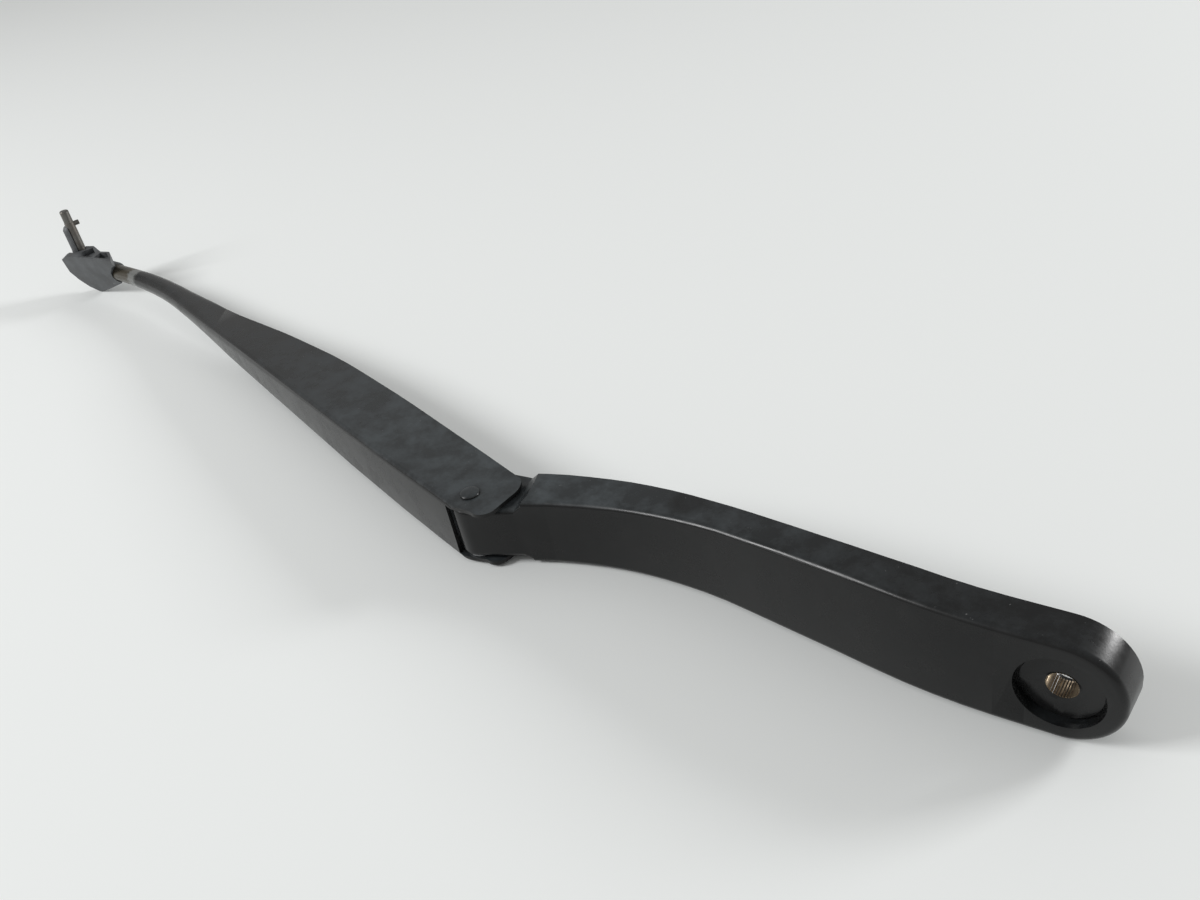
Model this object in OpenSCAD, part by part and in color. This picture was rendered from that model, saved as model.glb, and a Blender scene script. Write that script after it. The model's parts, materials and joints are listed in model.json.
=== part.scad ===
// Windscreen wiper arm: cast head, folding sheet channel with a tension spring, and a side pin tip.
// The arm lies on its side, so +Z is across its width. The origin is on the spindle bore's axis.

/* [Head] */
// Distance from the spindle bore to the pivot, along the head
head_l = 188.6; // [170:0.2:220]
// Radius of the round end at its front edge
end_r = 16; // [14:0.1:18]
// How much wider the head is at its back edge, on each side
draft = 0.6; // [0.2:0.1:1]
// Thickness of the head at the spindle, front face to back edge
head_t = 11.6; // [10.5:0.1:14]
// Thickness of the head just before the hinge
knuckle_t = 16.5; // [14:0.1:18]
// Radius of the front edges
edge_r = 2; // [1:0.1:2.6]
// Wall of the hollow behind the head
head_wall = 3.2; // [2.6:0.1:4]
// Depth of the hollow behind the head, at its middle
hollow_d = 7; // [5:0.1:8]

/* [Spindle seat] */
// Diameter of the bore
bore_d = 8.2; // [7.8:0.1:9.6]
// Diameter of the counterbore behind the bore
counter_d = 11.5; // [10.5:0.1:12.5]
// Depth of the counterbore
counter_t = 2.5; // [1.5:0.1:3.5]
// Radius of the nut recess in the front face
recess_r = 11.24; // [10.8:0.02:12]
// Depth of the nut recess down to the raised disc
recess_t = 2.6; // [1.5:0.1:3.5]
// Width of the groove round the raised disc
groove_w = 1.05; // [0.6:0.05:1.5]
// Depth of the groove below the disc
groove_t = 1; // [0.4:0.1:1.5]
// Chamfer at the bore's mouth
rim_c = 0.8; // [0.3:0.05:1]

/* [Hinge] */
// Distance of the pivot behind the seat disc's plane
pivot_y = 1.1; // [0.8:0.1:3]
// Diameter of the rivet's shank
rivet_d = 5; // [4:0.1:5.5]
// Diameter of the rivet's heads
rivet_head_d = 6.8; // [6.2:0.1:8]
// Height of the rivet's heads
rivet_head_t = 1.1; // [0.6:0.1:1.5]
// Radius of the head's tongue round the pivot
tongue_r = 7.1; // [6.6:0.1:7.4]
// Gap between a washer and its ear
ear_gap = 0.15; // [0.1:0.05:0.4]
// Wall of a bush
bush_t = 1.2; // [0.8:0.1:1.4]
// Thickness of a washer between tongue and ear
washer_t = 0.45; // [0.2:0.05:0.5]
// Radial running clearance of pins in their holes
run_gap = 0.05; // [0.02:0.01:0.09]

/* [Arm channel] */
// Angle between the folded arm and the line of the head
fold_a = 160.5; // [158:0.5:163]
// Outside width over the ears
ear_w = 23.6; // [22.8:0.1:24.4]
// Thickness of the sheet
sheet_t = 1.4; // [1.2:0.1:1.5]
// Length from the pivot to the end of the sheet
channel_l = 358; // [340:1:375]
// Length of the neck from the middle of its bend to the end of the sheet
neck_l = 46; // [40:1:52]
// Angle of the neck's bend
bend_a = 14.5; // [10:0.5:18]
// Height of the web's face above the pivot
web_h = 10.3; // [9.6:0.1:10.8]
// Outside width of the neck
neck_w = 8.4; // [8.2:0.1:9]

/* [Spring and link] */
// Distance of the spring pin from the pivot
pin_r = 9; // [8.6:0.1:9.4]
// Angle from the arm to the spring pin at rest
pin_a = 98; // [94:1:102]
// Diameter of the spring pin
pin_d = 4; // [3.6:0.1:4.2]
// Thickness of the link
link_t = 3; // [2.4:0.1:3.4]
// Width of the slot for the link in the tongue
slot_w = 4.4; // [4:0.1:5.2]
// Distance from the spring pin to the link's hook hole
link_l = 22; // [20:0.5:24]
// Distance from the pivot to the anchor eye, along the arm
anchor_s = 104; // [98:1:112]
// Outside diameter of the spring
spring_d = 10.4; // [9:0.1:11]
// Diameter of the spring wire
wire_d = 1.8; // [1.6:0.1:2]

/* [Tip] */
// Gap between the rod and the sheet wrapped round it
rod_gap = 0.1; // [0.05:0.05:0.3]
// Angle of the tip block to the arm
block_a = 25; // [22:0.5:28]
// Diameter of the side pin's lower part, in the block and its rib
side_d = 5.1; // [4.9:0.02:5.6]
// Height of the side pin's lower part above the block
side_l = 15.8; // [13:0.1:18]
// Diameter of the side pin's upper part
side_top_d = 4.76; // [4.2:0.02:4.8]
// Length of the side pin's upper part
side_top_l = 6.8; // [5:0.1:10]
// Diameter of the locking pin
lock_d = 2.6; // [2.2:0.1:3]

/* [Hidden] */
$fn = 64;
over = 1;
back_x = -head_l;
// Middle of the arm's width, level with the narrowed end of the head
arm_z = -3.7;
face_y = -recess_t;
tongue_w = ear_w - 2 * (sheet_t + washer_t + ear_gap);
tongue_h = tongue_w / 2;
rod_d = neck_w - 2 * (sheet_t + rod_gap);
bend_s = channel_l - neck_l;
shoulder_u = head_l - 17.3;
foot_u = head_l - 14;
shoulder_lean = 3.6;
// Slope of the outer face and depth of the head, by the distance behind the spindle
face_slopes = [[0, 0], [14, 0], [32, 5], [50, 10.5], [70, 9.3], [head_l - 92.6, 9.3], [head_l - 80.6, 4],
    [head_l - 67.6, 0], [head_l - 56.6, -4], [head_l - 43.6, -10.5], [head_l - 28.6, -16],
    [head_l - 18.6, -23.5], [head_l - 10.6, -24], [head_l - 2.6, -14]];
head_depths = [[0, head_t], [40, head_t + 0.4], [66, head_t - 0.6], [head_l - 83.6, head_t - 0.6],
    [head_l - 58.6, head_t + 1.1], [head_l - 38.6, head_t + 2.7], [head_l - 16.6, knuckle_t]];
slope_step = 3;
taper_from = 36;
taper_to = head_l - 17;
tip_half = 9;

function smooth(t) = let (c = max(0, min(1, t))) c * c * (3 - 2 * c);
function arc(c, r, from, to, n = 10) =
    [for (i = [0 : n]) let (a = from + (to - from) * i / n) [c[0] + r * cos(a), c[1] + r * sin(a)]];
// Plane of the outer face at a distance behind the spindle, summed from its slope
function face_at(u, at = 0, y = face_y) =
    at >= u ? y : let (d = min(slope_step, u - at))
    face_at(u, at + d, y + d * tan(lookup(at + d / 2, face_slopes)));
function top_at(u) = end_r + (tip_half - end_r) * smooth((u - taper_from) / (taper_to - taper_from));

// Layers of the head from the front edge to the back: inset and depth
edge_steps = 5;
head_layers = concat(
    [for (i = [0 : edge_steps]) let (a = 90 * i / edge_steps)
        [edge_r * (1 - sin(a)), edge_r * (1 - cos(a)), 0]],
    [[-draft, 0, 1]]);
end_steps = 14;
body_us = concat([8, 16, 24, 32, 40, 50, 60], [for (i = [0 : 13]) 70 + i * (shoulder_u - 73) / 13]);
function layer_y(x, l) =
    let (u = max(0, -x)) face_at(u) + l[1] + l[2] * lookup(u, head_depths);
function end_ring(a) = [for (l = head_layers) let (x = (end_r - l[0]) * cos(a))
    [x, layer_y(x, l), (end_r - l[0]) * sin(a)]];
function body_ring(u, top, lean) = [for (l = head_layers)
    let (x = -u + lean * (1 - l[2])) [x, layer_y(x, l), top - l[0]]];
// Rings over the front of the tongue, and round its nose about the pivot
nose_steps = 12;
nose_core = 1;
tongue_core = 8;
function tongue_ring(u) = [for (l = head_layers)
    [-u, face_at(u) + (l[2] > 0 ? tongue_core : l[1]), arm_z + tongue_h - max(0, l[0])]];
function nose_ring(a) = [for (l = head_layers) let (r = l[2] > 0 ? nose_core : tongue_r - l[1])
    [back_x + r * cos(a), pivot_y + r * sin(a), arm_z + tongue_h - max(0, l[0])]];
function below(side, low) = [for (i = [len(side) - 1 : -1 : 0]) [side[i][0], side[i][1], low[i]]];
head_rings = concat(
    [for (i = [1 : end_steps]) let (s = end_ring(90 * i / end_steps))
        concat(s, below(s, [for (p = s) -p[2]]))],
    [for (u = body_us) let (s = body_ring(u, top_at(u), 0))
        concat(s, below(s, [for (l = head_layers) -end_r + l[0]]))],
    [let (s = body_ring(shoulder_u, tip_half, shoulder_lean))
        concat(s, below(s, [for (l = head_layers) -end_r + l[0]]))],
    [let (s = body_ring(foot_u, arm_z + tongue_h, shoulder_lean))
        concat(s, below(s, [for (l = head_layers) arm_z - tongue_h + l[0]]))],
    [for (u = [foot_u + 1, foot_u + 4.4, foot_u + 7.8]) let (s = tongue_ring(u))
        concat(s, below(s, [for (p = s) 2 * arm_z - p[2]]))],
    [for (i = [0 : nose_steps]) let (s = nose_ring(292 - 132 * i / nose_steps))
        concat(s, below(s, [for (p = s) 2 * arm_z - p[2]]))]);

// Closed skin through rings of equal length, whose ends are strips between opposite points
module skin(rings) {
    n = len(rings[0]);
    m = len(rings);
    polyhedron(
        points = [for (r = rings) each r],
        faces = concat(
            [for (j = [0 : n / 2 - 2]) [j, j + 1, n - 1 - j]],
            [for (j = [0 : n / 2 - 2]) [j + 1, n - 2 - j, n - 1 - j]],
            [for (k = [0 : m - 2], i = [0 : n - 1])
                let (a = k * n + i, b = k * n + (i + 1) % n) [a, a + n, b]],
            [for (k = [0 : m - 2], i = [0 : n - 1])
                let (a = k * n + i, b = k * n + (i + 1) % n) [b, a + n, b + n]],
            [for (j = [0 : n / 2 - 2]) let (e = (m - 1) * n) [e + n - 1 - j, e + j + 1, e + j]],
            [for (j = [0 : n / 2 - 2]) let (e = (m - 1) * n) [e + n - 1 - j, e + n - 2 - j, e + j + 1]]));
}

// Cylinder along Y from one plane to another
module rod_y(r, y0, y1) {
    translate([0, y0, 0])
        rotate([-90, 0, 0])
            cylinder(r = r, h = y1 - y0);
}

module at_pivot() {
    translate([back_x, pivot_y, arm_z])
        children();
}

module arm_frame() {
    at_pivot()
        rotate([0, 0, fold_a])
            children();
}

// Outline of the tongue in plan, from the head's face round the pivot to the back edge
tongue_in = 7;
tongue_us = [shoulder_u - tongue_in, shoulder_u, shoulder_u + 4, shoulder_u + 8, shoulder_u + 11];
module tongue() {
    outline = concat(
        [for (u = tongue_us) [-u, face_at(u) + edge_r]],
        arc([back_x, pivot_y], tongue_r - edge_r, 292, 160, 18),
        [[back_x - 2.9, pivot_y + 9.9], [back_x + 1.1, pivot_y + 14.5], [back_x + 4.9, pivot_y + 16.1],
            [back_x + 12.6, pivot_y + 16.7], [-shoulder_u + tongue_in, pivot_y + 15.5]]);
    translate([0, 0, arm_z - tongue_h])
        linear_extrude(tongue_w)
            polygon(outline);
}

boss_r = 12.6;
hollow_from = 6;
hollow_to = shoulder_u - 4;
hollow_us = concat([hollow_from, 22, 36, 48, 60], [for (i = [0 : 8]) 72 + i * (hollow_to - 72) / 8]);
rib_us = [44, 78, head_l - 76.6, head_l - 46.6];
rib_t = 1.8;
rib_h = 4.2;
floor_t = head_t - hollow_d;
module hollow() {
    side = [for (u = hollow_us) [-u, top_at(u) - head_wall]];
    floor_line = [for (u = hollow_us) [-u, face_at(u) + floor_t]];
    difference() {
        intersection() {
            translate([0, 40, 0])
                rotate([90, 0, 0])
                    linear_extrude(60)
                        polygon(concat(side, [[-hollow_to, -end_r + head_wall],
                            [-hollow_from, -end_r + head_wall]]));
            translate([0, 0, -20])
                linear_extrude(40)
                    polygon(concat(floor_line, [[-hollow_to, 40], [-hollow_from, 40]]));
        }
        rod_y(boss_r, face_y, 40);
        for (u = rib_us)
            translate([-u, face_at(u), -20])
                cube([rib_t, floor_t + rib_h, 40]);
    }
}

// Slot for the link, under a roof that follows the outer face
roof_t = 2.2;
link_turn = 71;
way_gap = 0.5;
module link_slot() {
    us = [hollow_to - 2, shoulder_u, shoulder_u + 6, shoulder_u + 12, head_l];
    translate([0, 0, arm_z - slot_w / 2])
        linear_extrude(slot_w)
            polygon(concat([for (u = us) [-u, face_at(u) + roof_t]], [[back_x, 40], [-hollow_to + 2, 40]]));
    at_pivot()
        translate([0, 0, -slot_w / 2])
            linear_extrude(slot_w) {
                circle(r = tongue_r - roof_t);
                translate([-30, -1])
                    square([30, 41]);
                // Way of the link's stem when the arm is folded right up
                translate(pin_xy)
                    rotate(fold_a + link_a + link_turn)
                        translate([bow_to - way_gap, -60])
                            square([40, 60 + stem_y + way_gap]);
            }
}

module head_casting() color([0.13, 0.13, 0.14]) {
    difference() {
        union() {
            skin(head_rings);
            tongue();
        }
        hollow();
        difference() {
            rod_y(recess_r, face_y - over, groove_t);
            rod_y(recess_r - groove_w, 0, groove_t + over);
        }
        rod_y(bore_d / 2, -over, head_t + over);
        translate([0, -0.01, 0])
            rotate([-90, 0, 0])
                cylinder(r1 = bore_d / 2 + rim_c, r2 = bore_d / 2, h = rim_c / 2);
        rod_y(counter_d / 2, face_y + head_t - counter_t, head_t + over);
        link_slot();
        at_pivot() {
            translate([0, 0, -20])
                cylinder(r = rivet_d / 2 + bush_t, h = 40);
            translate([pin_xy[0], pin_xy[1], -20])
                cylinder(d = pin_d, h = 40);
        }
    }
}

// Place of the spring pin from the pivot, in the head's frame
pin_xy = [pin_r * cos(fold_a - pin_a), pin_r * sin(fold_a - pin_a)];
cheek_w = (tongue_w - slot_w) / 2;

module bush(z) color([0.72, 0.6, 0.32]) at_pivot() translate([0, 0, z]) {
    difference() {
        cylinder(r = rivet_d / 2 + bush_t, h = cheek_w);
        translate([0, 0, -over])
            cylinder(r = rivet_d / 2 + run_gap, h = cheek_w + 2 * over);
    }
}

module bush_upper() bush(slot_w / 2);
module bush_lower() bush(-tongue_h);

module washer(z) color([0.7, 0.7, 0.72]) at_pivot() translate([0, 0, z]) {
    difference() {
        cylinder(r = rivet_d / 2 + bush_t + 2.2, h = washer_t);
        translate([0, 0, -over])
            cylinder(r = rivet_d / 2 + 0.3, h = washer_t + 2 * over);
    }
}

module washer_upper() washer(tongue_h);
module washer_lower() washer(-tongue_h - washer_t);

module spring_pin() color([0.62, 0.62, 0.64]) at_pivot() {
    translate([pin_xy[0], pin_xy[1], -tongue_h])
        cylinder(d = pin_d, h = tongue_w);
}

rivet_foot_t = 0.6;
module pivot_rivet() color([0.3, 0.31, 0.33]) at_pivot() {
    h = ear_w / 2;
    rotate_extrude()
        polygon([[0, -h - rivet_foot_t], [rivet_head_d / 2, -h - rivet_foot_t], [rivet_head_d / 2, -h],
            [rivet_d / 2, -h], [rivet_d / 2, h], [rivet_head_d / 2, h],
            [rivet_head_d / 2, h + rivet_head_t * 0.45], [rivet_head_d / 2 - 0.7, h + rivet_head_t * 0.9],
            [rivet_head_d / 4, h + rivet_head_t], [0, h + rivet_head_t]]);
}

// Channel: sizes of the folded section along the arm
ear_back = 15;
bend_half = 35;
bend_from = bend_s - bend_half;
bend_r = 2 * bend_half / (bend_a * PI / 180);
web_line = [[-ear_back, web_h - 2.3], [0, web_h - 2.1], [40, web_h - 0.8], [80, web_h - 0.1],
    [150, web_h], [230, web_h + 0.5], [bend_from, web_h + 0.8]];
widths = [[14, ear_w], [40, ear_w - 1.2], [80, ear_w - 2.8], [130, ear_w - 5.8], [180, ear_w - 8.6],
    [channel_l - 128, neck_w + 2.1], [channel_l - 100, neck_w + 1.4], [channel_l - 40, neck_w + 1.3],
    [channel_l - 18, neck_w + 0.1], [channel_l + 40, neck_w]];
depths = [[0, 24.9], [40, 26.4], [80, 27.1], [130, 26.1], [180, 21.1], [channel_l - 128, 14.4],
    [channel_l - 100, neck_w + 4.2], [channel_l - 78, neck_w + 2.6], [channel_l - 55, neck_w + 1.2],
    [channel_l - 18, neck_w], [channel_l + 40, neck_w]];
round_from = channel_l - 158;
close_from = channel_l - 123;
corner_r = 1.1;
ease_d = 11;
function eased(s, table) =
    (lookup(s - ease_d, table) + 2 * lookup(s, table) + lookup(s + ease_d, table)) / 4;
function heading(s) = bend_a * max(0, min(1, (s - bend_from) / (2 * bend_half)));
// Point on the line of the web's outer face, straight, round the bend, then straight again
function web_point(s) = s <= bend_from ? [s, lookup(s, web_line)] :
    let (a = heading(s), past = max(0, s - bend_from - 2 * bend_half))
    [bend_from + bend_r * sin(a) + past * cos(a),
        lookup(bend_from, web_line) + bend_r * (1 - cos(a)) + past * sin(a)];
// Half of the sheet's middle line, as across and depth, from the web to the free edge
arc_n = 4;
function half_line(s) = let (
        h = (eased(s, widths) - sheet_t) / 2,
        d = eased(s, depths) - sheet_t,
        round_in = smooth((s - round_from) / 70),
        r = corner_r + (h - 0.3 - corner_r) * round_in,
        close = smooth((s - close_from) / 60),
        rb = min(h - 0.5, 3.2))
    concat(
        [for (i = [0 : arc_n]) let (a = 90 - 90 * i / arc_n) [h - r + r * cos(a), -r + r * sin(a)]],
        [for (i = [0 : arc_n]) let (a = 90 * i / arc_n)
            [h - close * rb * (1 - cos(a)), -(d - rb) - rb * sin(a)]]);
function mid_line(s) = let (half = half_line(s), n = len(half)) concat(
    [for (i = [n - 1 : -1 : 0]) [-half[i][0], half[i][1]]], half);
function unit(v) = v / norm(v);
function side_of(line, i) = let (n = len(line), t = unit(line[min(n - 1, i + 1)] - line[max(0, i - 1)]))
    [-t[1], t[0]];
function channel_ring(s) = let (
        line = mid_line(s),
        n = len(line),
        outer = [for (i = [0 : n - 1]) line[i] + side_of(line, i) * sheet_t / 2],
        inner = [for (i = [n - 1 : -1 : 0]) line[i] - side_of(line, i) * sheet_t / 2],
        w = web_point(s),
        a = heading(s))
    [for (p = concat(outer, inner)) let (y = p[1] - sheet_t / 2) [w[0] - y * sin(a), w[1] + y * cos(a), p[0]]];
channel_ss = concat([-ear_back, 2, 14], [for (s = [26 : 14 : bend_from - 8]) s],
    [for (i = [0 : 6]) bend_from + i * 2 * bend_half / 6], [channel_l - 5, channel_l]);
web_end = 3.2;
ear_to = 12.5;
ear_less = 2.6;
// Outline of an ear; the lower one is smaller towards the head
module ear_outline(less) {
    polygon(concat(arc([-9 + 0.6 * less, 0.1 - 0.2 * less], 5.2 - 0.46 * less, 84, 182, 8),
        arc([-3.4 + 0.2 * less, -8.1 - 0.1 * less], 8.6 - 0.4 * less, 195, 272, 8),
        [[ear_to + over, -17.5], [ear_to + over, web_h + over], [2, web_h - 1.5]]));
}

module arm_channel() color([0.15, 0.16, 0.17]) arm_frame() {
    difference() {
        skin([for (s = channel_ss) channel_ring(s)]);
        for (less = [0, ear_less])
            translate([0, 0, less > 0 ? -20 : 0])
                linear_extrude(20)
                    difference() {
                        translate([-30, -30])
                            square([30 + ear_to, 60]);
                        ear_outline(less);
                    }
        translate([-30, -30, -ear_w / 2 + sheet_t + 0.1])
            cube([30 + web_end, 60, ear_w - 2 * sheet_t - 0.2]);
        translate([0, 0, -20])
            cylinder(d = rivet_d, h = 40);
    }
}

// Rod: its line lies under the web, and it ends in a flat eye for the spring
rod_in = neck_w / 2;
rod_from = channel_l - 144;
rod_sides = 24;
rod_past = 14;
eye = [anchor_s, -2];
eye_r = 5.4;
eye_hole_r = 3.3;
strip_t = 3;
rod_ss = concat([rod_from, rod_from + 26, rod_from + 50],
    [for (i = [0 : 6]) bend_from + i * 2 * bend_half / 6], [channel_l, channel_l + rod_past]);
function rod_centre(s) = let (w = web_point(s), a = heading(s))
    [w[0] + rod_in * sin(a), w[1] - rod_in * cos(a)];
function rod_ring(s) = let (c = rod_centre(s), a = heading(s), r = rod_d / 2)
    [for (i = [0 : rod_sides - 1]) let (b = 360 * (i + 0.5) / rod_sides)
        [c[0] - r * cos(b) * sin(a), c[1] + r * cos(b) * cos(a), r * sin(b)]];
strip_to = rod_centre(rod_from + 8);
neck_end = rod_centre(channel_l);
module tip_rod() color([0.42, 0.36, 0.27]) arm_frame() {
    difference() {
        union() {
            skin([for (t = rod_ss) rod_ring(t)]);
            translate([0, 0, -strip_t / 2])
                linear_extrude(strip_t) {
                    translate(eye)
                        circle(r = eye_r);
                    polygon([[eye[0], eye[1] - eye_r + 0.5], [strip_to[0], strip_to[1] - rod_d / 2 + 0.5],
                        [strip_to[0], strip_to[1] + rod_d / 2 - 0.5], [eye[0], eye[1] + eye_r - 0.5]]);
                }
        }
        translate([eye[0], eye[1], -5])
            cylinder(r = eye_hole_r, h = 10);
    }
}

// Tip block: a shield-shaped plate with a thick body behind it, turned outward from the neck
module block_frame() {
    arm_frame()
        translate([neck_end[0], neck_end[1], 0])
            rotate([0, 0, block_a])
                children();
}

// The plate leans back from its top edge, down to the surface the arm lies on
plate_t = 4.5;
plate_y = 8.6;
plate_lean = 15.4;
block_top = 12;
plate_top = block_top - 1;
foot_z = -end_r - draft - arm_z;
foot_v = (foot_z - plate_top) / cos(plate_lean);
pin_at = [21.4, -0.8];
rod_lean = bend_a - block_a;
neck_room = neck_w / 2 + 0.1;
body_floor = -5.6;
sleeve_t = 1.8;
// Collar of the socket round the end of the neck, and how far the neck goes in
collar_t = 1.1;
mouth = 3;
module plate_outline() {
    polygon([[-13.8, -0.9], [-11, -0.6], [-0.7, 0], [12, 0], [25.4, -0.3], [29, -1.8], [30.1, -6.6],
        [31, -11.2], [28, foot_v + 7.8], [23.6, foot_v + 3.2], [17.8, foot_v + 0.3], [16.3, foot_v],
        [14.6, foot_v + 0.3], [4.4, -20.8], [-8.3, -15.9], [-5.4, -14.6], [-4.2, -12], [-5.2, -8.8]]);
}

// Thick part of the block, seen from above and from the front
module body_top() {
    polygon([[-14, plate_y], [-3, 0], [-1.4, -0.1], [3.9, 0.4], [15.7, -5], [21.5, -4.4], [23.9, 3.2],
        [25, plate_y - 0.3], [20, plate_y + 3], [-14, plate_y + 3]]);
}

module body_front() {
    polygon([[-14.9, block_top - 3], [-13.4, block_top - 0.6], [-3, block_top], [12, block_top],
        [23, block_top - 0.2], [25.4, block_top - 1.6], [25.4, 2.4], [17.6, -3.2], [5.6, body_floor],
        [-3, body_floor], [-4, 4]]);
}

// Rib that rises with the casting along the outer side of the side pin
rib_a = 28;
rib_r = 3.6;
rib_off = 1.2;
rib_in = 0.7;
module pin_rib() {
    translate([pin_at[0], pin_at[1], block_top - 4])
        rotate([0, 0, rib_a])
            intersection() {
                translate([rib_off, 0, 0])
                    rotate_extrude()
                        polygon([[0, 0], [rib_r + 0.6, 0], [rib_r, 5], [rib_r, 4 + side_l - 3.6],
                            [rib_r - 0.9, 4 + side_l - 2.1], [rib_r - 2.2, 4 + side_l - 1.2],
                            [0, 4 + side_l - 0.9]]);
                translate([rib_in, -10, -1])
                    cube([20, 20, 40]);
            }
}

module tip_block() color([0.33, 0.36, 0.4]) block_frame() {
    difference() {
        union() {
            intersection() {
                union() {
                    lean_plate(plate_t)
                        plate_outline();
                    intersection() {
                        translate([0, 0, body_floor - over])
                            linear_extrude(block_top - body_floor + 2 * over)
                                body_top();
                        translate([0, plate_y + over, 0])
                            rotate([90, 0, 0])
                                linear_extrude(30)
                                    body_front();
                    }
                    rotate([0, -90, rod_lean])
                        translate([0, 0, -rod_past - sleeve_t])
                            cylinder(d = rod_d + 2 * sleeve_t, h = rod_past + sleeve_t);
                    rotate([0, -90, rod_lean])
                        translate([0, 0, -3])
                            cylinder(r = neck_room + collar_t, h = 3 + mouth);
                }
                lean_plate(40)
                    translate([-40, -40])
                        square([80, 60]);
                translate([0, 0, -40])
                    linear_extrude(40 + block_top)
                        polygon([[-3.4, 0], [-3.4, -40], [60, -40], [60, 40], [-50, 40]]);
            }
            pin_rib();
        }
        rotate([0, -90, rod_lean]) {
            translate([0, 0, -rod_past])
                cylinder(d = rod_d, h = rod_past + over);
            cylinder(r = neck_room, h = 40);
        }
        translate([0, 0, block_top - pocket_d])
            linear_extrude(pocket_d + over) {
                polygon([[16.6, 1.5], [14, -2.8], [5.4, 2.6], [3.6, 7], [10.6, 7.2], [15.4, 4]]);
                polygon([[2.6, 1.9], [-2.2, 1.4], [-9.4, 6], [-8.6, 7.2], [1.4, 7.2]]);
            }
        translate([pin_at[0], pin_at[1], -20])
            cylinder(d = side_d, h = 60);
        translate([block_pin_x, block_pin_x * sin(rod_lean), -20])
            cylinder(d = block_pin_d, h = 20 + block_pin_l / 2 + 0.2);
    }
}

module lean_plate(t) {
    translate([0, plate_y, plate_top])
        rotate([90 - plate_lean, 0, 0])
            linear_extrude(t)
                children();
}

pocket_d = 2.6;
block_pin_x = 6;
block_pin_d = 2.5;
block_pin_l = -2 * body_floor;
module block_pin() color([0.5, 0.5, 0.52]) block_frame() {
    translate([block_pin_x, block_pin_x * sin(rod_lean), -block_pin_l / 2])
        cylinder(d = block_pin_d, h = block_pin_l);
}

step_z = block_top + side_l;
lock_z = step_z - lock_d / 2 - 0.1;
pin_foot = 12;
module side_pin() color([0.62, 0.62, 0.6]) block_frame() translate([pin_at[0], pin_at[1], 0]) {
    difference() {
        rotate_extrude()
            polygon([[0, block_top - pin_foot], [side_d / 2, block_top - pin_foot], [side_d / 2, step_z - 0.1],
                [side_top_d / 2, step_z], [side_top_d / 2, step_z + side_top_l - 0.4],
                [side_top_d / 2 - 0.4, step_z + side_top_l], [0, step_z + side_top_l]]);
        lock_rod();
    }
}

// Locking pin: across the side pin, just below the step
lock_in = 2;
lock_reach = 5;
lock_a = 65;
module lock_rod() {
    translate([0, 0, lock_z])
        rotate([0, 90, lock_a])
            translate([0, 0, -lock_reach])
                cylinder(d = lock_d, h = lock_reach + lock_in);
}

module lock_pin() color([0.6, 0.6, 0.6]) block_frame() {
    translate([pin_at[0], pin_at[1], 0])
        lock_rod();
}

// Link: an eye round the spring pin, a bow that clears the rivet, and a tab for the spring's hook
pin_arm = [pin_r * cos(pin_a), -pin_r * sin(pin_a)];
link_a = atan2(eye[1] - pin_arm[1], eye[0] - pin_arm[0]);
reach = norm(eye - pin_arm);
link_eye_r = pin_d / 2 + 2.2;
bow_top = -rivet_d / 2 - 0.9;
bow_w = 4.4;
bow_to = pin_r + rivet_d / 2 + 0.9;
hook_hole_r = 1.7;
tab_r = 3.2;
stem_y = -0.2;
module link_frame() {
    arm_frame()
        translate([pin_arm[0], pin_arm[1], 0])
            rotate([0, 0, link_a])
                children();
}

module spring_link() color([0.5, 0.5, 0.52]) link_frame() {
    translate([0, 0, -link_t / 2])
        linear_extrude(link_t)
            difference() {
                union() {
                    circle(r = link_eye_r);
                    polygon([[-link_eye_r, -1.5], [-1.5, bow_top - bow_w + 0.8], [0.6, bow_top - bow_w],
                        [bow_to + 1.2, bow_top - bow_w], [bow_to + 5.4, -tab_r], [link_l, -tab_r],
                        [link_l, tab_r], [bow_to + 6.2, stem_y], [bow_to + 0.5, stem_y], [bow_to, stem_y - 0.6],
                        [bow_to, bow_top], [2.5, bow_top], [2.5, 0], [-2.5, 0]]);
                    translate([link_l, 0])
                        circle(r = tab_r);
                }
                circle(r = pin_d / 2 + run_gap);
                translate([link_l, 0])
                    circle(r = hook_hole_r);
            }
}

// Spring: the coil's own envelope, and a hook at each end
hook_r = 3.8;
hook_shift = 0.6;
coil_from = link_l + 2 * hook_r - 0.4;
coil_to = reach - hook_shift - 2 * hook_r + 0.4;
module hook(x) {
    translate([x, 0, 0])
        rotate([90, 0, 0])
            rotate_extrude()
                translate([hook_r, 0])
                    circle(d = wire_d);
}

module tension_spring() color([0.36, 0.35, 0.34]) link_frame() {
    difference() {
        translate([coil_from, 0, 0])
            rotate([0, 90, 0])
                cylinder(d = spring_d, h = coil_to - coil_from);
        translate([coil_from + wire_d, 0, 0])
            rotate([0, 90, 0])
                cylinder(d = spring_d - 2 * wire_d, h = coil_to - coil_from - 2 * wire_d);
    }
    hook(link_l + hook_r);
    hook(reach - hook_shift - hook_r);
}

head_casting();
bush_upper();
bush_lower();
washer_upper();
washer_lower();
spring_pin();
pivot_rivet();
arm_channel();
tip_rod();
tip_block();
block_pin();
side_pin();
lock_pin();
spring_link();
tension_spring();
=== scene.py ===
import json
import math

import bmesh
import bpy
from mathutils import Matrix, Vector


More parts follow.
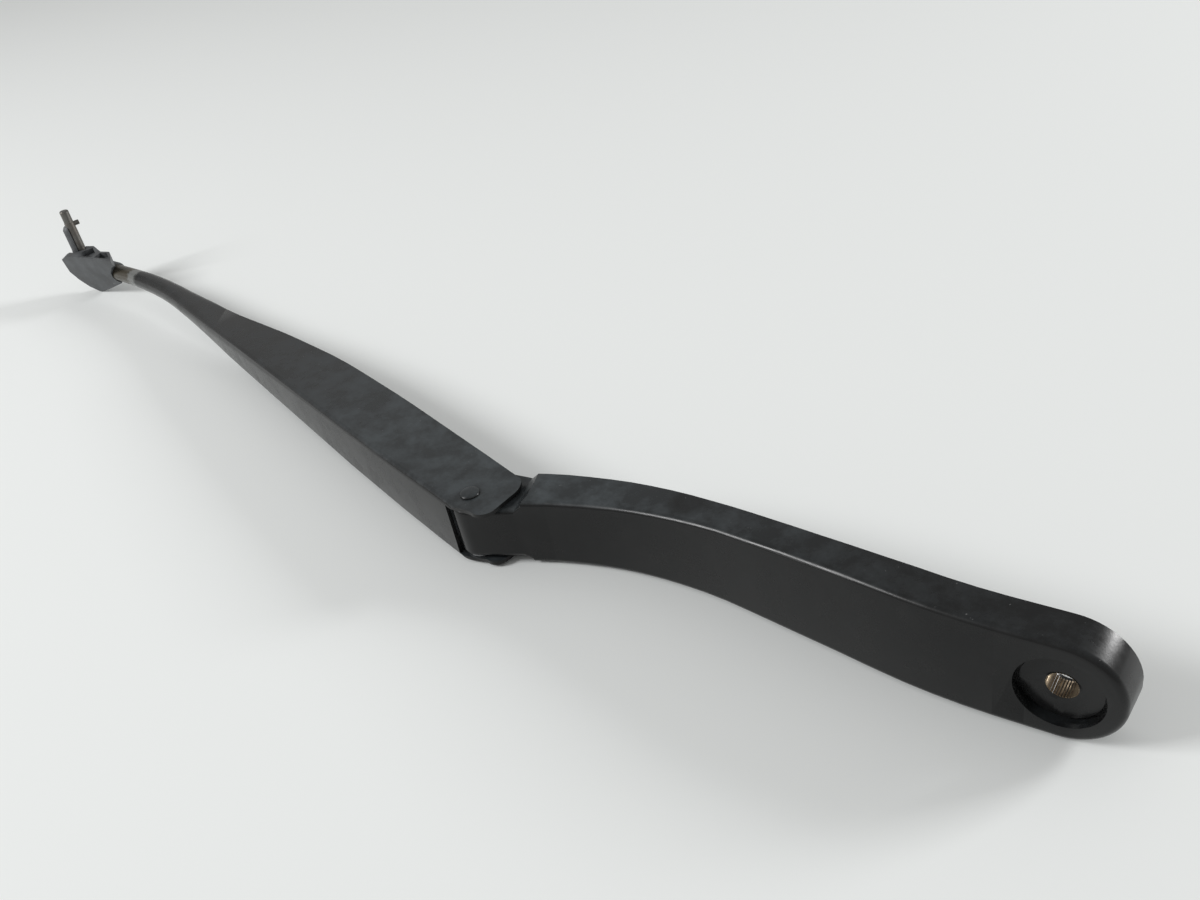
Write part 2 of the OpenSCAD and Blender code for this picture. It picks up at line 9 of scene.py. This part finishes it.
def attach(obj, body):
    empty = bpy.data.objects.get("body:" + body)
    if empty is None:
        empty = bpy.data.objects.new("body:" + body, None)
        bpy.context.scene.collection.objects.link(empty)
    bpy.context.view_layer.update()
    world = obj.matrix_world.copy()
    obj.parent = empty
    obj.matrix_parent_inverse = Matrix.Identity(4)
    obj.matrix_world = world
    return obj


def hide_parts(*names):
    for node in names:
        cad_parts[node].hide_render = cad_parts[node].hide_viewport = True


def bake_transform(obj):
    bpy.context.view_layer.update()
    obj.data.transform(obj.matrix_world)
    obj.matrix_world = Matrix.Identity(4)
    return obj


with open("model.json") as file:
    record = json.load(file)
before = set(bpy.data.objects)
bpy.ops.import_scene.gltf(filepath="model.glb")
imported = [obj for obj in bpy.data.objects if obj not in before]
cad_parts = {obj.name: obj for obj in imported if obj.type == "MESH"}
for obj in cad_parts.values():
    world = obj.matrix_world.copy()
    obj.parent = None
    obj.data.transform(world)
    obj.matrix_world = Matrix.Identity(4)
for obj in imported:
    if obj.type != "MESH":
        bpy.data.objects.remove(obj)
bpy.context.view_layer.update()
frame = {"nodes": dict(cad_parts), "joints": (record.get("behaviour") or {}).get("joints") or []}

mm = 0.001
scene = bpy.context.scene
print("frame loaded:", len(frame["nodes"]), "nodes")


# A shader socket that takes part in Python expressions
class Wire:
    def __init__(self, finish, socket):
        self.finish = finish
        self.socket = socket

    def combine(self, operation, first, second):
        return self.finish.node("ShaderNodeMath", {"operation": operation}, {0: first, 1: second})

    def __add__(self, other):
        return self.combine("ADD", self, other)

    __radd__ = __add__

    def __sub__(self, other):
        return self.combine("SUBTRACT", self, other)

    def __rsub__(self, other):
        return self.combine("SUBTRACT", other, self)

    def __mul__(self, other):
        return self.combine("MULTIPLY", self, other)

    __rmul__ = __mul__


# One material: its shader and the nodes that feed it
class Finish:
    def __init__(self, name, roughness=0.5, metallic=0.0, **constants):
        self.material = bpy.data.materials.new(name)
        self.material.use_nodes = True
        self.tree = self.material.node_tree
        self.shader = self.tree.nodes["Principled BSDF"]
        self.shader.inputs["Roughness"].default_value = roughness
        self.shader.inputs["Metallic"].default_value = metallic
        for socketName, value in constants.items():
            self.shader.inputs[socketName.replace("_", " ")].default_value = value
        self.place = self.node("ShaderNodeTexCoord", out="Object")

    def feed(self, socket, value):
        if isinstance(value, Wire):
            self.tree.links.new(value.socket, socket)
        else:
            socket.default_value = value

    def node(self, kind, settings=None, inputs=None, out=0):
        made = self.tree.nodes.new(kind)
        for key, value in (settings or {}).items():
            if key == "stops":
                ramp = made.color_ramp
                while len(ramp.elements) < len(value):
                    ramp.elements.new(0.5)
                for element, (position, shade) in zip(ramp.elements, value):
                    element.position = position
                    element.color = (shade, shade, shade, 1)
            else:
                setattr(made, key, value)
        for key, value in (inputs or {}).items():
            self.feed(made.inputs[key], value)
        return Wire(self, made.outputs[out])

    def noise(self, scale, detail=3.0, rough=0.5, place=None, distortion=0.0):
        return self.node("ShaderNodeTexNoise", None, {
            "Vector": place or self.place, "Scale": scale, "Detail": detail,
            "Roughness": rough, "Distortion": distortion}, out="Fac")

    def ramp(self, value, *stops):
        return self.node("ShaderNodeValToRGB", {"stops": stops}, {"Fac": value})

    def mix(self, factor, first, second):
        made = self.tree.nodes.new("ShaderNodeMix")
        made.data_type = "RGBA"
        self.feed(made.inputs[0], factor)
        self.feed(made.inputs[6], first)
        self.feed(made.inputs[7], second)
        return Wire(self, made.outputs[2])

    def stretched(self, turn, scale):
        return self.node("ShaderNodeMapping", None,
                         {"Vector": self.place, "Rotation": turn, "Scale": scale})

    def axis(self, letter, of=None):
        return self.node("ShaderNodeSeparateXYZ", None, {0: of or self.place}, out="XYZ".index(letter))

    def facing(self, letter):
        return self.axis(letter, self.node("ShaderNodeTexCoord", out="Normal"))

    def along(self, direction, start=0.0):
        return self.node("ShaderNodeVectorMath", {"operation": "DOT_PRODUCT"},
                         {0: self.place, 1: direction}, out="Value") - start

    def spot(self, centre, radius, soft=0.5):
        away = self.node("ShaderNodeVectorMath", {"operation": "DISTANCE"},
                         {0: self.place, 1: centre}, out="Value")
        return self.ramp(away * (1 / radius), (1 - soft, 1.0), (1.0, 0.0))

    def bump(self, height, distance, strength=1.0):
        return self.node("ShaderNodeBump", None,
                         {"Height": height, "Distance": distance, "Strength": strength})

    def finish(self, color=None, roughness=None, metallic=None, normal=None):
        for socketName, value in (("Base Color", color), ("Roughness", roughness),
                                  ("Metallic", metallic), ("Normal", normal)):
            if value is not None:
                self.feed(self.shader.inputs[socketName], value)
        return self.material


def grey(shade, tint=(1, 1, 1)):
    return tuple(shade * part for part in tint) + (1,)


# Satin black paint, dusty where it faces up, with fine orange peel
paint = {
    "black": grey(0.006, (1, 1.02, 1.05)),
    "dust": grey(0.075, (0.86, 1.0, 1.08)),
    "dustCentre": (-0.205, 0.01, 0.012),
    "dustReach": 0.17,
    "blotch": grey(0.018, (1, 1.0, 1.0)),
    "speck": grey(0.3),
    "neck": grey(0.15, (0.98, 1, 0.97)),
    "neckEnd": (0.055, 0.048, 0.036, 1),
    "roughness": 0.22,
    "dustRough": 0.2,
    "cloudRough": 0.08,
    "peel": 0.00002,
}


def blackPaint(name, dustShare=1.0, patches=(), bands=None):
    f = Finish(name, paint["roughness"], Specular_IOR_Level=0.32)
    cloud = f.ramp(f.noise(75, 8, 0.72), (0.42, 0.0), (0.62, 1.0))
    fine = f.noise(900, 3, 0.6)
    up = f.ramp(f.facing("Z"), (0.5, 0.0), (0.9, 1.0))
    near = f.spot(paint["dustCentre"], paint["dustReach"], 0.75)
    dusty = up * (0.04 + 0.22 * cloud * (0.2 + fine) + near * (0.28 + 0.32 * cloud)) * dustShare
    color = f.mix(dusty, paint["black"], paint["dust"])
    color = f.mix(0.25 * f.ramp(f.noise(140, 6, 0.7), (0.5, 0.0), (0.75, 1.0)), color, paint["blotch"])
    for centre, radius, strength in patches:
        color = f.mix(strength * f.spot(centre, radius), color, paint["black"])
    specks = f.ramp(f.noise(1300, 1, 0.5), (0.78, 0.0), (0.8, 1.0))
    color = f.mix(0.35 * specks * up, color, paint["speck"])
    if bands:
        place = f.along(bands["direction"], bands["start"]) * 1000 + 7 * (f.noise(420, 4, 0.7) - 0.5)
        color = f.mix(f.ramp(place * 0.1, (0.0, 0.0), (0.25, 1.0)), color, paint["neck"])
        ended = f.ramp((place - bands["width"]) * 0.1, (0.0, 0.0), (0.15, 1.0))
        color = f.mix(ended, color, paint["neckEnd"])
    peel = f.noise(1500, 2, 0.5) + 0.6 * f.noise(320, 2, 0.5)
    rough = paint["roughness"] + paint["dustRough"] * dusty + paint["cloudRough"] * cloud
    return f.finish(color, rough, None, f.bump(peel, paint["peel"], 0.5))


def metal(name, shade, tint, roughness, grain, stain=0.0, stainColor=(0.1, 0.07, 0.04, 1)):
    f = Finish(name, roughness, 1.0)
    streak = f.noise(grain, 4, 0.6, f.stretched((0, 0, 0), (1, 1, 0.12)))
    cloud = f.ramp(f.noise(220, 5, 0.65), (0.4, 0.0), (0.7, 1.0))
    color = f.mix(0.5 * streak, grey(shade, tint), grey(shade * 0.55, tint))
    color = f.mix(stain * cloud, color, stainColor)
    rough = roughness + 0.18 * streak + 0.25 * stain * cloud
    return f.finish(color, rough, 1.0 - 0.7 * stain * cloud, f.bump(streak, 0.00003, 0.5))


def castPaint(name):
    f = Finish(name, 0.5)
    cloud = f.ramp(f.noise(160, 5, 0.6), (0.35, 0.0), (0.7, 1.0))
    chips = f.ramp(f.noise(420, 4, 0.7), (0.66, 0.0), (0.7, 1.0))
    color = f.mix(cloud, grey(0.045, (0.95, 1, 1.05)), grey(0.11, (0.94, 1, 1.05)))
    color = f.mix(0.5 * chips, color, grey(0.26))
    return f.finish(color, 0.42 + 0.2 * cloud, None, f.bump(f.noise(900, 3), 0.00004, 0.6))


def knurlMetal(name):
    f = Finish(name, 0.45, 0.8)
    rust = f.ramp(f.noise(500, 4, 0.7), (0.35, 0.0), (0.65, 1.0))
    color = f.mix(rust, (0.26, 0.21, 0.145, 1), (0.11, 0.075, 0.045, 1))
    return f.finish(color, 0.38 + 0.3 * rust, 0.9 - 0.5 * rust, f.bump(rust, 0.00004, 0.6))


# Where the channel's paint ends on its neck, along the arm
armLine = Vector((math.cos(math.radians(160.5)), math.sin(math.radians(160.5)), 0))
pivot = Vector((-0.1886, 0.0011, -0.0037))
neckBands = {"direction": armLine, "start": pivot.dot(armLine) + 0.3285, "width": 7.0}

finishes = {
    "head": blackPaint("headPaint", 1.0, [((-0.1145, 0.02, 0.012), 0.009, 0.7)]),
    "channel": blackPaint("channelPaint", 0.9, bands=neckBands),
    "rivet": blackPaint("rivetPaint", 1.0),
    "knurl": knurlMetal("boreMetal"),
    "bronze": metal("bushBronze", 0.5, (1, 0.72, 0.4), 0.4, 500),
    "zinc": metal("zincSteel", 0.55, (0.98, 1, 1.02), 0.35, 400, 0.2),
    "bare": metal("bareRod", 0.3, (1, 0.86, 0.62), 0.42, 500, 0.55, (0.09, 0.07, 0.04, 1)),
    "pin": metal("pinSteel", 0.17, (1, 0.98, 0.92), 0.22, 700, 0.5, (0.08, 0.06, 0.045, 1)),
    "block": castPaint("blockPaint"),
    "spring": metal("springWire", 0.22, (1, 0.97, 0.93), 0.35, 900, 0.3),
}
print("finishes made:", len(finishes))


# A copy of a node's mesh with its doubles merged, its edges rounded and its faces smoothed
def dressed(nodeName, pieceName, finish, bevel=0.25, segments=2, sharp=34):
    source = frame["nodes"][nodeName]
    mesh = source.data.copy()
    mesh.name = pieceName
    piece = bpy.data.objects.new(pieceName, mesh)
    scene.collection.objects.link(piece)
    work = bmesh.new()
    work.from_mesh(mesh)
    bmesh.ops.remove_doubles(work, verts=work.verts, dist=0.002 * mm)
    bmesh.ops.dissolve_limit(work, angle_limit=math.radians(0.4), verts=work.verts, edges=work.edges)
    work.to_mesh(mesh)
    work.free()
    mesh.materials.clear()
    mesh.materials.append(finish)
    mesh.shade_smooth()
    mesh.set_sharp_from_angle(angle=math.radians(sharp))
    if bevel:
        edges = piece.modifiers.new("edges", "BEVEL")
        edges.width = bevel * mm
        edges.segments = segments
        edges.limit_method = "ANGLE"
        edges.angle_limit = math.radians(sharp)
        edges.harden_normals = True
        edges.use_clamp_overlap = True
    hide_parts(nodeName)
    return piece


pieces = []
for nodeName, pieceName, finish, bevel, body, slot in (
        ("head_casting", "headCasting", "head", 0.3, "head", "black_paint"),
        ("bush_upper", "bushUpper", "bronze", 0.15, "head", "bronze"),
        ("bush_lower", "bushLower", "bronze", 0.15, "head", "bronze"),
        ("washer_upper", "washerUpper", "zinc", 0.1, "head", "zinc_steel"),
        ("washer_lower", "washerLower", "zinc", 0.1, "head", "zinc_steel"),
        ("spring_pin", "springPin", "zinc", 0.3, "head", "zinc_steel"),
        ("pivot_rivet", "pivotRivet", "rivet", 0.25, "arm", "black_steel"),
        ("arm_channel", "armChannel", "channel", 0.2, "arm", "black_paint"),
        ("tip_rod", "tipRod", "bare", 0.2, "arm", "bare_steel"),
        ("tip_block", "tipBlock", "block", 0.4, "arm", "grey_cast"),
        ("block_pin", "blockPin", "pin", 0.15, "arm", "bare_steel"),
        ("side_pin", "sidePin", "pin", 0.12, "arm", "bare_steel"),
        ("lock_pin", "lockPin", "pin", 0.2, "arm", "bare_steel"),
        ("spring_link", "springLink", "zinc", 0.3, "link", "zinc_steel")):
    piece = dressed(nodeName, pieceName, finishes[finish], bevel)
    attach(piece, body)
    pieces.append(piece)
print("pieces dressed:", len(pieces))


# Geometry Nodes tree with named inputs, built in order
def nodeTree(name, inputs):
    tree = bpy.data.node_groups.new(name, "GeometryNodeTree")
    tree.interface.new_socket("Geometry", in_out="INPUT", socket_type="NodeSocketGeometry")
    tree.interface.new_socket("Geometry", in_out="OUTPUT", socket_type="NodeSocketGeometry")
    for socketName, kind, value in inputs:
        made = tree.interface.new_socket(socketName, in_out="INPUT", socket_type=kind)
        made.default_value = value
    return tree


def grown(pieceName, mesh, tree, values, finish):
    piece = bpy.data.objects.new(pieceName + "Guide", mesh)
    scene.collection.objects.link(piece)
    modifier = piece.modifiers.new("grow", "NODES")
    modifier.node_group = tree
    for item in tree.interface.items_tree:
        if item.in_out == "INPUT" and item.name in values:
            modifier[item.identifier] = values[item.name]
    evaluated = piece.evaluated_get(bpy.context.evaluated_depsgraph_get())
    result = bpy.data.meshes.new_from_object(evaluated)
    result.name = pieceName
    bpy.data.objects.remove(piece)
    plain = bpy.data.objects.new(pieceName, result)
    scene.collection.objects.link(plain)
    result.materials.clear()
    result.materials.append(finish)
    return plain


# Wire along a path of edges
def wireTree():
    tree = nodeTree("wireAlongPath", [("Wire radius", "NodeSocketFloat", 0.001),
                                      ("Sides", "NodeSocketInt", 12),
                                      ("Finish", "NodeSocketMaterial", None)])
    nodes = tree.nodes
    start = nodes.new("NodeGroupInput")
    end = nodes.new("NodeGroupOutput")
    curve = nodes.new("GeometryNodeMeshToCurve")
    ring = nodes.new("GeometryNodeCurvePrimitiveCircle")
    sweep = nodes.new("GeometryNodeCurveToMesh")
    smooth = nodes.new("GeometryNodeSetShadeSmooth")
    real = nodes.new("GeometryNodeRealizeInstances")
    painted = nodes.new("GeometryNodeSetMaterial")
    link = tree.links.new
    link(start.outputs["Geometry"], curve.inputs["Mesh"])
    link(start.outputs["Sides"], ring.inputs["Resolution"])
    link(start.outputs["Wire radius"], ring.inputs["Radius"])
    link(curve.outputs["Curve"], sweep.inputs["Curve"])
    link(ring.outputs["Curve"], sweep.inputs["Profile Curve"])
    sweep.inputs["Fill Caps"].default_value = True
    link(sweep.outputs["Mesh"], smooth.inputs["Geometry"])
    link(smooth.outputs["Geometry"], real.inputs["Geometry"])
    link(real.outputs["Geometry"], painted.inputs["Geometry"])
    link(start.outputs["Finish"], painted.inputs["Material"])
    link(painted.outputs["Geometry"], end.inputs["Geometry"])
    return tree


# The spring: hook, coil and hook as one wire, in the link's own line
spring = {"outer": 10.4, "wire": 1.8, "hookRadius": 3.8, "hookHole": 22.0, "pitch": 2.02, "stepsPerTurn": 24}


def jointNamed(name):
    return next(joint for joint in frame["joints"] if joint["name"] == name)


springAxis = Vector(jointNamed("spring_stretch")["axis"]).normalized()
springRoot = Vector(jointNamed("link_swing")["pos_m"])
springSide = Vector((0, 0, 1)).cross(springAxis)
springEnd = max((vertex.co - springRoot).dot(springAxis)
                for vertex in frame["nodes"]["tension_spring"].data.vertices) / mm


def springPath():
    radius = (spring["outer"] - spring["wire"]) / 2
    hook = spring["hookRadius"]
    frontCentre = spring["hookHole"] + hook
    rearCentre = springEnd - spring["wire"] / 2 - hook
    coilStart = frontCentre + hook + 0.6
    coilEnd = rearCentre - hook - 0.6
    turns = round((coilEnd - coilStart) / spring["pitch"])
    steps = turns * spring["stepsPerTurn"]
    points = []
    for step in range(24):
        angle = math.radians(-40 - 230 * step / 23)
        points.append((frontCentre + hook * math.cos(angle), 0, hook * math.sin(angle)))
    points.append((frontCentre + hook * 0.55, 0.0, hook + 0.25))
    for step in range(steps + 1):
        angle = math.tau * step / spring["stepsPerTurn"]
        points.append((coilStart + (coilEnd - coilStart) * step / steps,
                       radius * math.sin(angle), radius * math.cos(angle)))
    points.append((rearCentre - hook * 0.55, 0.0, hook + 0.25))
    for step in range(24):
        angle = math.radians(90 - 230 * step / 23)
        points.append((rearCentre + hook * math.cos(angle), 0, hook * math.sin(angle)))
    return points, coilStart, coilEnd


def pathMesh(name, points):
    mesh = bpy.data.meshes.new(name)
    mesh.from_pydata(points, [(i, i + 1) for i in range(len(points) - 1)], [])
    return mesh


route, coilStart, coilEnd = springPath()
placed = [springRoot + (springAxis * x + springSide * y + Vector((0, 0, z))) * mm for x, y, z in route]
coil = grown("tensionSpring", pathMesh("springRoute", placed), wireTree(),
             {"Wire radius": spring["wire"] / 2 * mm, "Sides": 12}, finishes["spring"])
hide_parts("tension_spring")
springRoot + springAxis * coilStart * mm
springRoot + springAxis * coilEnd * mm
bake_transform(coil)
print("spring wound:", len(coil.data.polygons), "faces")


# Fine splines round the bore
splines = {"count": 34, "width": 0.34, "length": 5.9, "radius": 4.1, "start": 0.5}


def splineTree():
    tree = nodeTree("splineRing", [("Count", "NodeSocketInt", 36), ("Radius", "NodeSocketFloat", 0.0045),
                                   ("Width", "NodeSocketFloat", 0.0003), ("Length", "NodeSocketFloat", 0.005),
                                   ("Start", "NodeSocketFloat", 0.0), ("Finish", "NodeSocketMaterial", None)])
    nodes = tree.nodes
    link = tree.links.new
    start = nodes.new("NodeGroupInput")
    end = nodes.new("NodeGroupOutput")
    points = nodes.new("GeometryNodePoints")
    ridge = nodes.new("GeometryNodeMeshCylinder")
    ridge.inputs["Vertices"].default_value = 4
    moved = nodes.new("GeometryNodeTransform")
    offset = nodes.new("ShaderNodeCombineXYZ")
    lifted = nodes.new("ShaderNodeMath")
    lifted.operation = "MULTIPLY_ADD"
    lifted.inputs[1].default_value = 0.5
    index = nodes.new("GeometryNodeInputIndex")
    step = nodes.new("ShaderNodeMath")
    step.operation = "DIVIDE"
    step.inputs[0].default_value = math.tau
    turn = nodes.new("ShaderNodeMath")
    turn.operation = "MULTIPLY"
    spin = nodes.new("ShaderNodeCombineXYZ")
    scatter = nodes.new("GeometryNodeInstanceOnPoints")
    upright = nodes.new("GeometryNodeTransform")
    upright.inputs["Rotation"].default_value = (-math.pi / 2, 0, 0)
    real = nodes.new("GeometryNodeRealizeInstances")
    painted = nodes.new("GeometryNodeSetMaterial")
    link(start.outputs["Count"], points.inputs["Count"])
    link(start.outputs["Width"], ridge.inputs["Radius"])
    link(start.outputs["Length"], ridge.inputs["Depth"])
    link(start.outputs["Radius"], offset.inputs["X"])
    link(start.outputs["Length"], lifted.inputs[0])
    link(start.outputs["Start"], lifted.inputs[2])
    link(lifted.outputs[0], offset.inputs["Z"])
    link(ridge.outputs["Mesh"], moved.inputs["Geometry"])
    link(offset.outputs[0], moved.inputs["Translation"])
    link(start.outputs["Count"], step.inputs[1])
    link(index.outputs[0], turn.inputs[0])
    link(step.outputs[0], turn.inputs[1])
    link(turn.outputs[0], spin.inputs["Z"])
    link(points.outputs["Points"], scatter.inputs["Points"])
    link(moved.outputs["Geometry"], scatter.inputs["Instance"])
    link(spin.outputs[0], scatter.inputs["Rotation"])
    link(scatter.outputs["Instances"], real.inputs["Geometry"])
    link(real.outputs["Geometry"], upright.inputs["Geometry"])
    link(upright.outputs["Geometry"], painted.inputs["Geometry"])
    link(start.outputs["Finish"], painted.inputs["Material"])
    link(painted.outputs["Geometry"], end.inputs["Geometry"])
    return tree


seed = bpy.data.meshes.new("splineSeed")
ring = grown("boreSplines", seed, splineTree(),
             {"Count": splines["count"], "Radius": splines["radius"] * mm, "Width": splines["width"] * mm,
              "Length": splines["length"] * mm, "Start": splines["start"] * mm}, finishes["knurl"])
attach(ring, "head")
print("bore splined:", len(ring.data.polygons), "faces")


# Floor, light and camera
stage = {"floor": (0.83, 0.85, 0.845, 1), "floorZ": -16.62, "size": 2.4, "world": 0.42,
         "key": 26.0, "window": 24.0}

floorMesh = bpy.data.meshes.new("tableTop")
half = stage["size"]
floorMesh.from_pydata([(-half - 0.3, -half, stage["floorZ"] * mm), (half - 0.3, -half, stage["floorZ"] * mm),
                       (half - 0.3, half, stage["floorZ"] * mm), (-half - 0.3, half, stage["floorZ"] * mm)],
                      [], [(0, 1, 2, 3)])
floor = bpy.data.objects.new("tableTop", floorMesh)
scene.collection.objects.link(floor)
floorFinish = Finish("tableFinish", 0.55, Specular_IOR_Level=0.2)
floorMesh.materials.append(floorFinish.finish(stage["floor"]))

world = bpy.data.worlds.new("softRoom")
world.use_nodes = True
world.node_tree.nodes["Background"].inputs["Color"].default_value = (1.0, 0.995, 0.98, 1)
world.node_tree.nodes["Background"].inputs["Strength"].default_value = stage["world"]
scene.world = world


def softbox(name, place, target, size, power):
    light = bpy.data.lights.new(name, "AREA")
    light.shape = "SQUARE"
    light.size = size
    light.energy = power
    lamp = bpy.data.objects.new(name, light)
    direction = Vector(target) - Vector(place)
    lamp.matrix_world = Matrix.Translation(place) @ direction.to_track_quat("-Z", "Y").to_matrix().to_4x4()
    scene.collection.objects.link(lamp)


softbox("keyLight", (-1.45, -1.1, 1.15), (-0.25, 0, 0), 0.65, stage["key"])
softbox("windowLight", (1.2, 1.4, 0.72), (-0.1, 0, 0), 0.5, stage["window"])

view = {"place": (47.069, -207.29, 223.531), "right": (0.82135, 0.54316, -0.17423),
        "up": (-0.19277, 0.55178, 0.81141), "focalPixels": 1150.0, "imageWidth": 1200.0, "sensor": 36.0}
right = Vector(view["right"])
up = Vector(view["up"])
back = right.cross(up)
camera = bpy.data.cameras.new("photoCamera")
camera.sensor_width = view["sensor"]
camera.lens = view["focalPixels"] / view["imageWidth"] * view["sensor"]
camera.clip_start = 0.01
eye = bpy.data.objects.new("photoCamera", camera)
eye.matrix_world = Matrix.Translation(Vector(view["place"]) * mm) @ Matrix((right, up, back)).transposed().to_4x4()
scene.collection.objects.link(eye)
scene.camera = eye
scene.view_settings.view_transform = "Standard"
print("stage set")

bpy.context.view_layer.update()
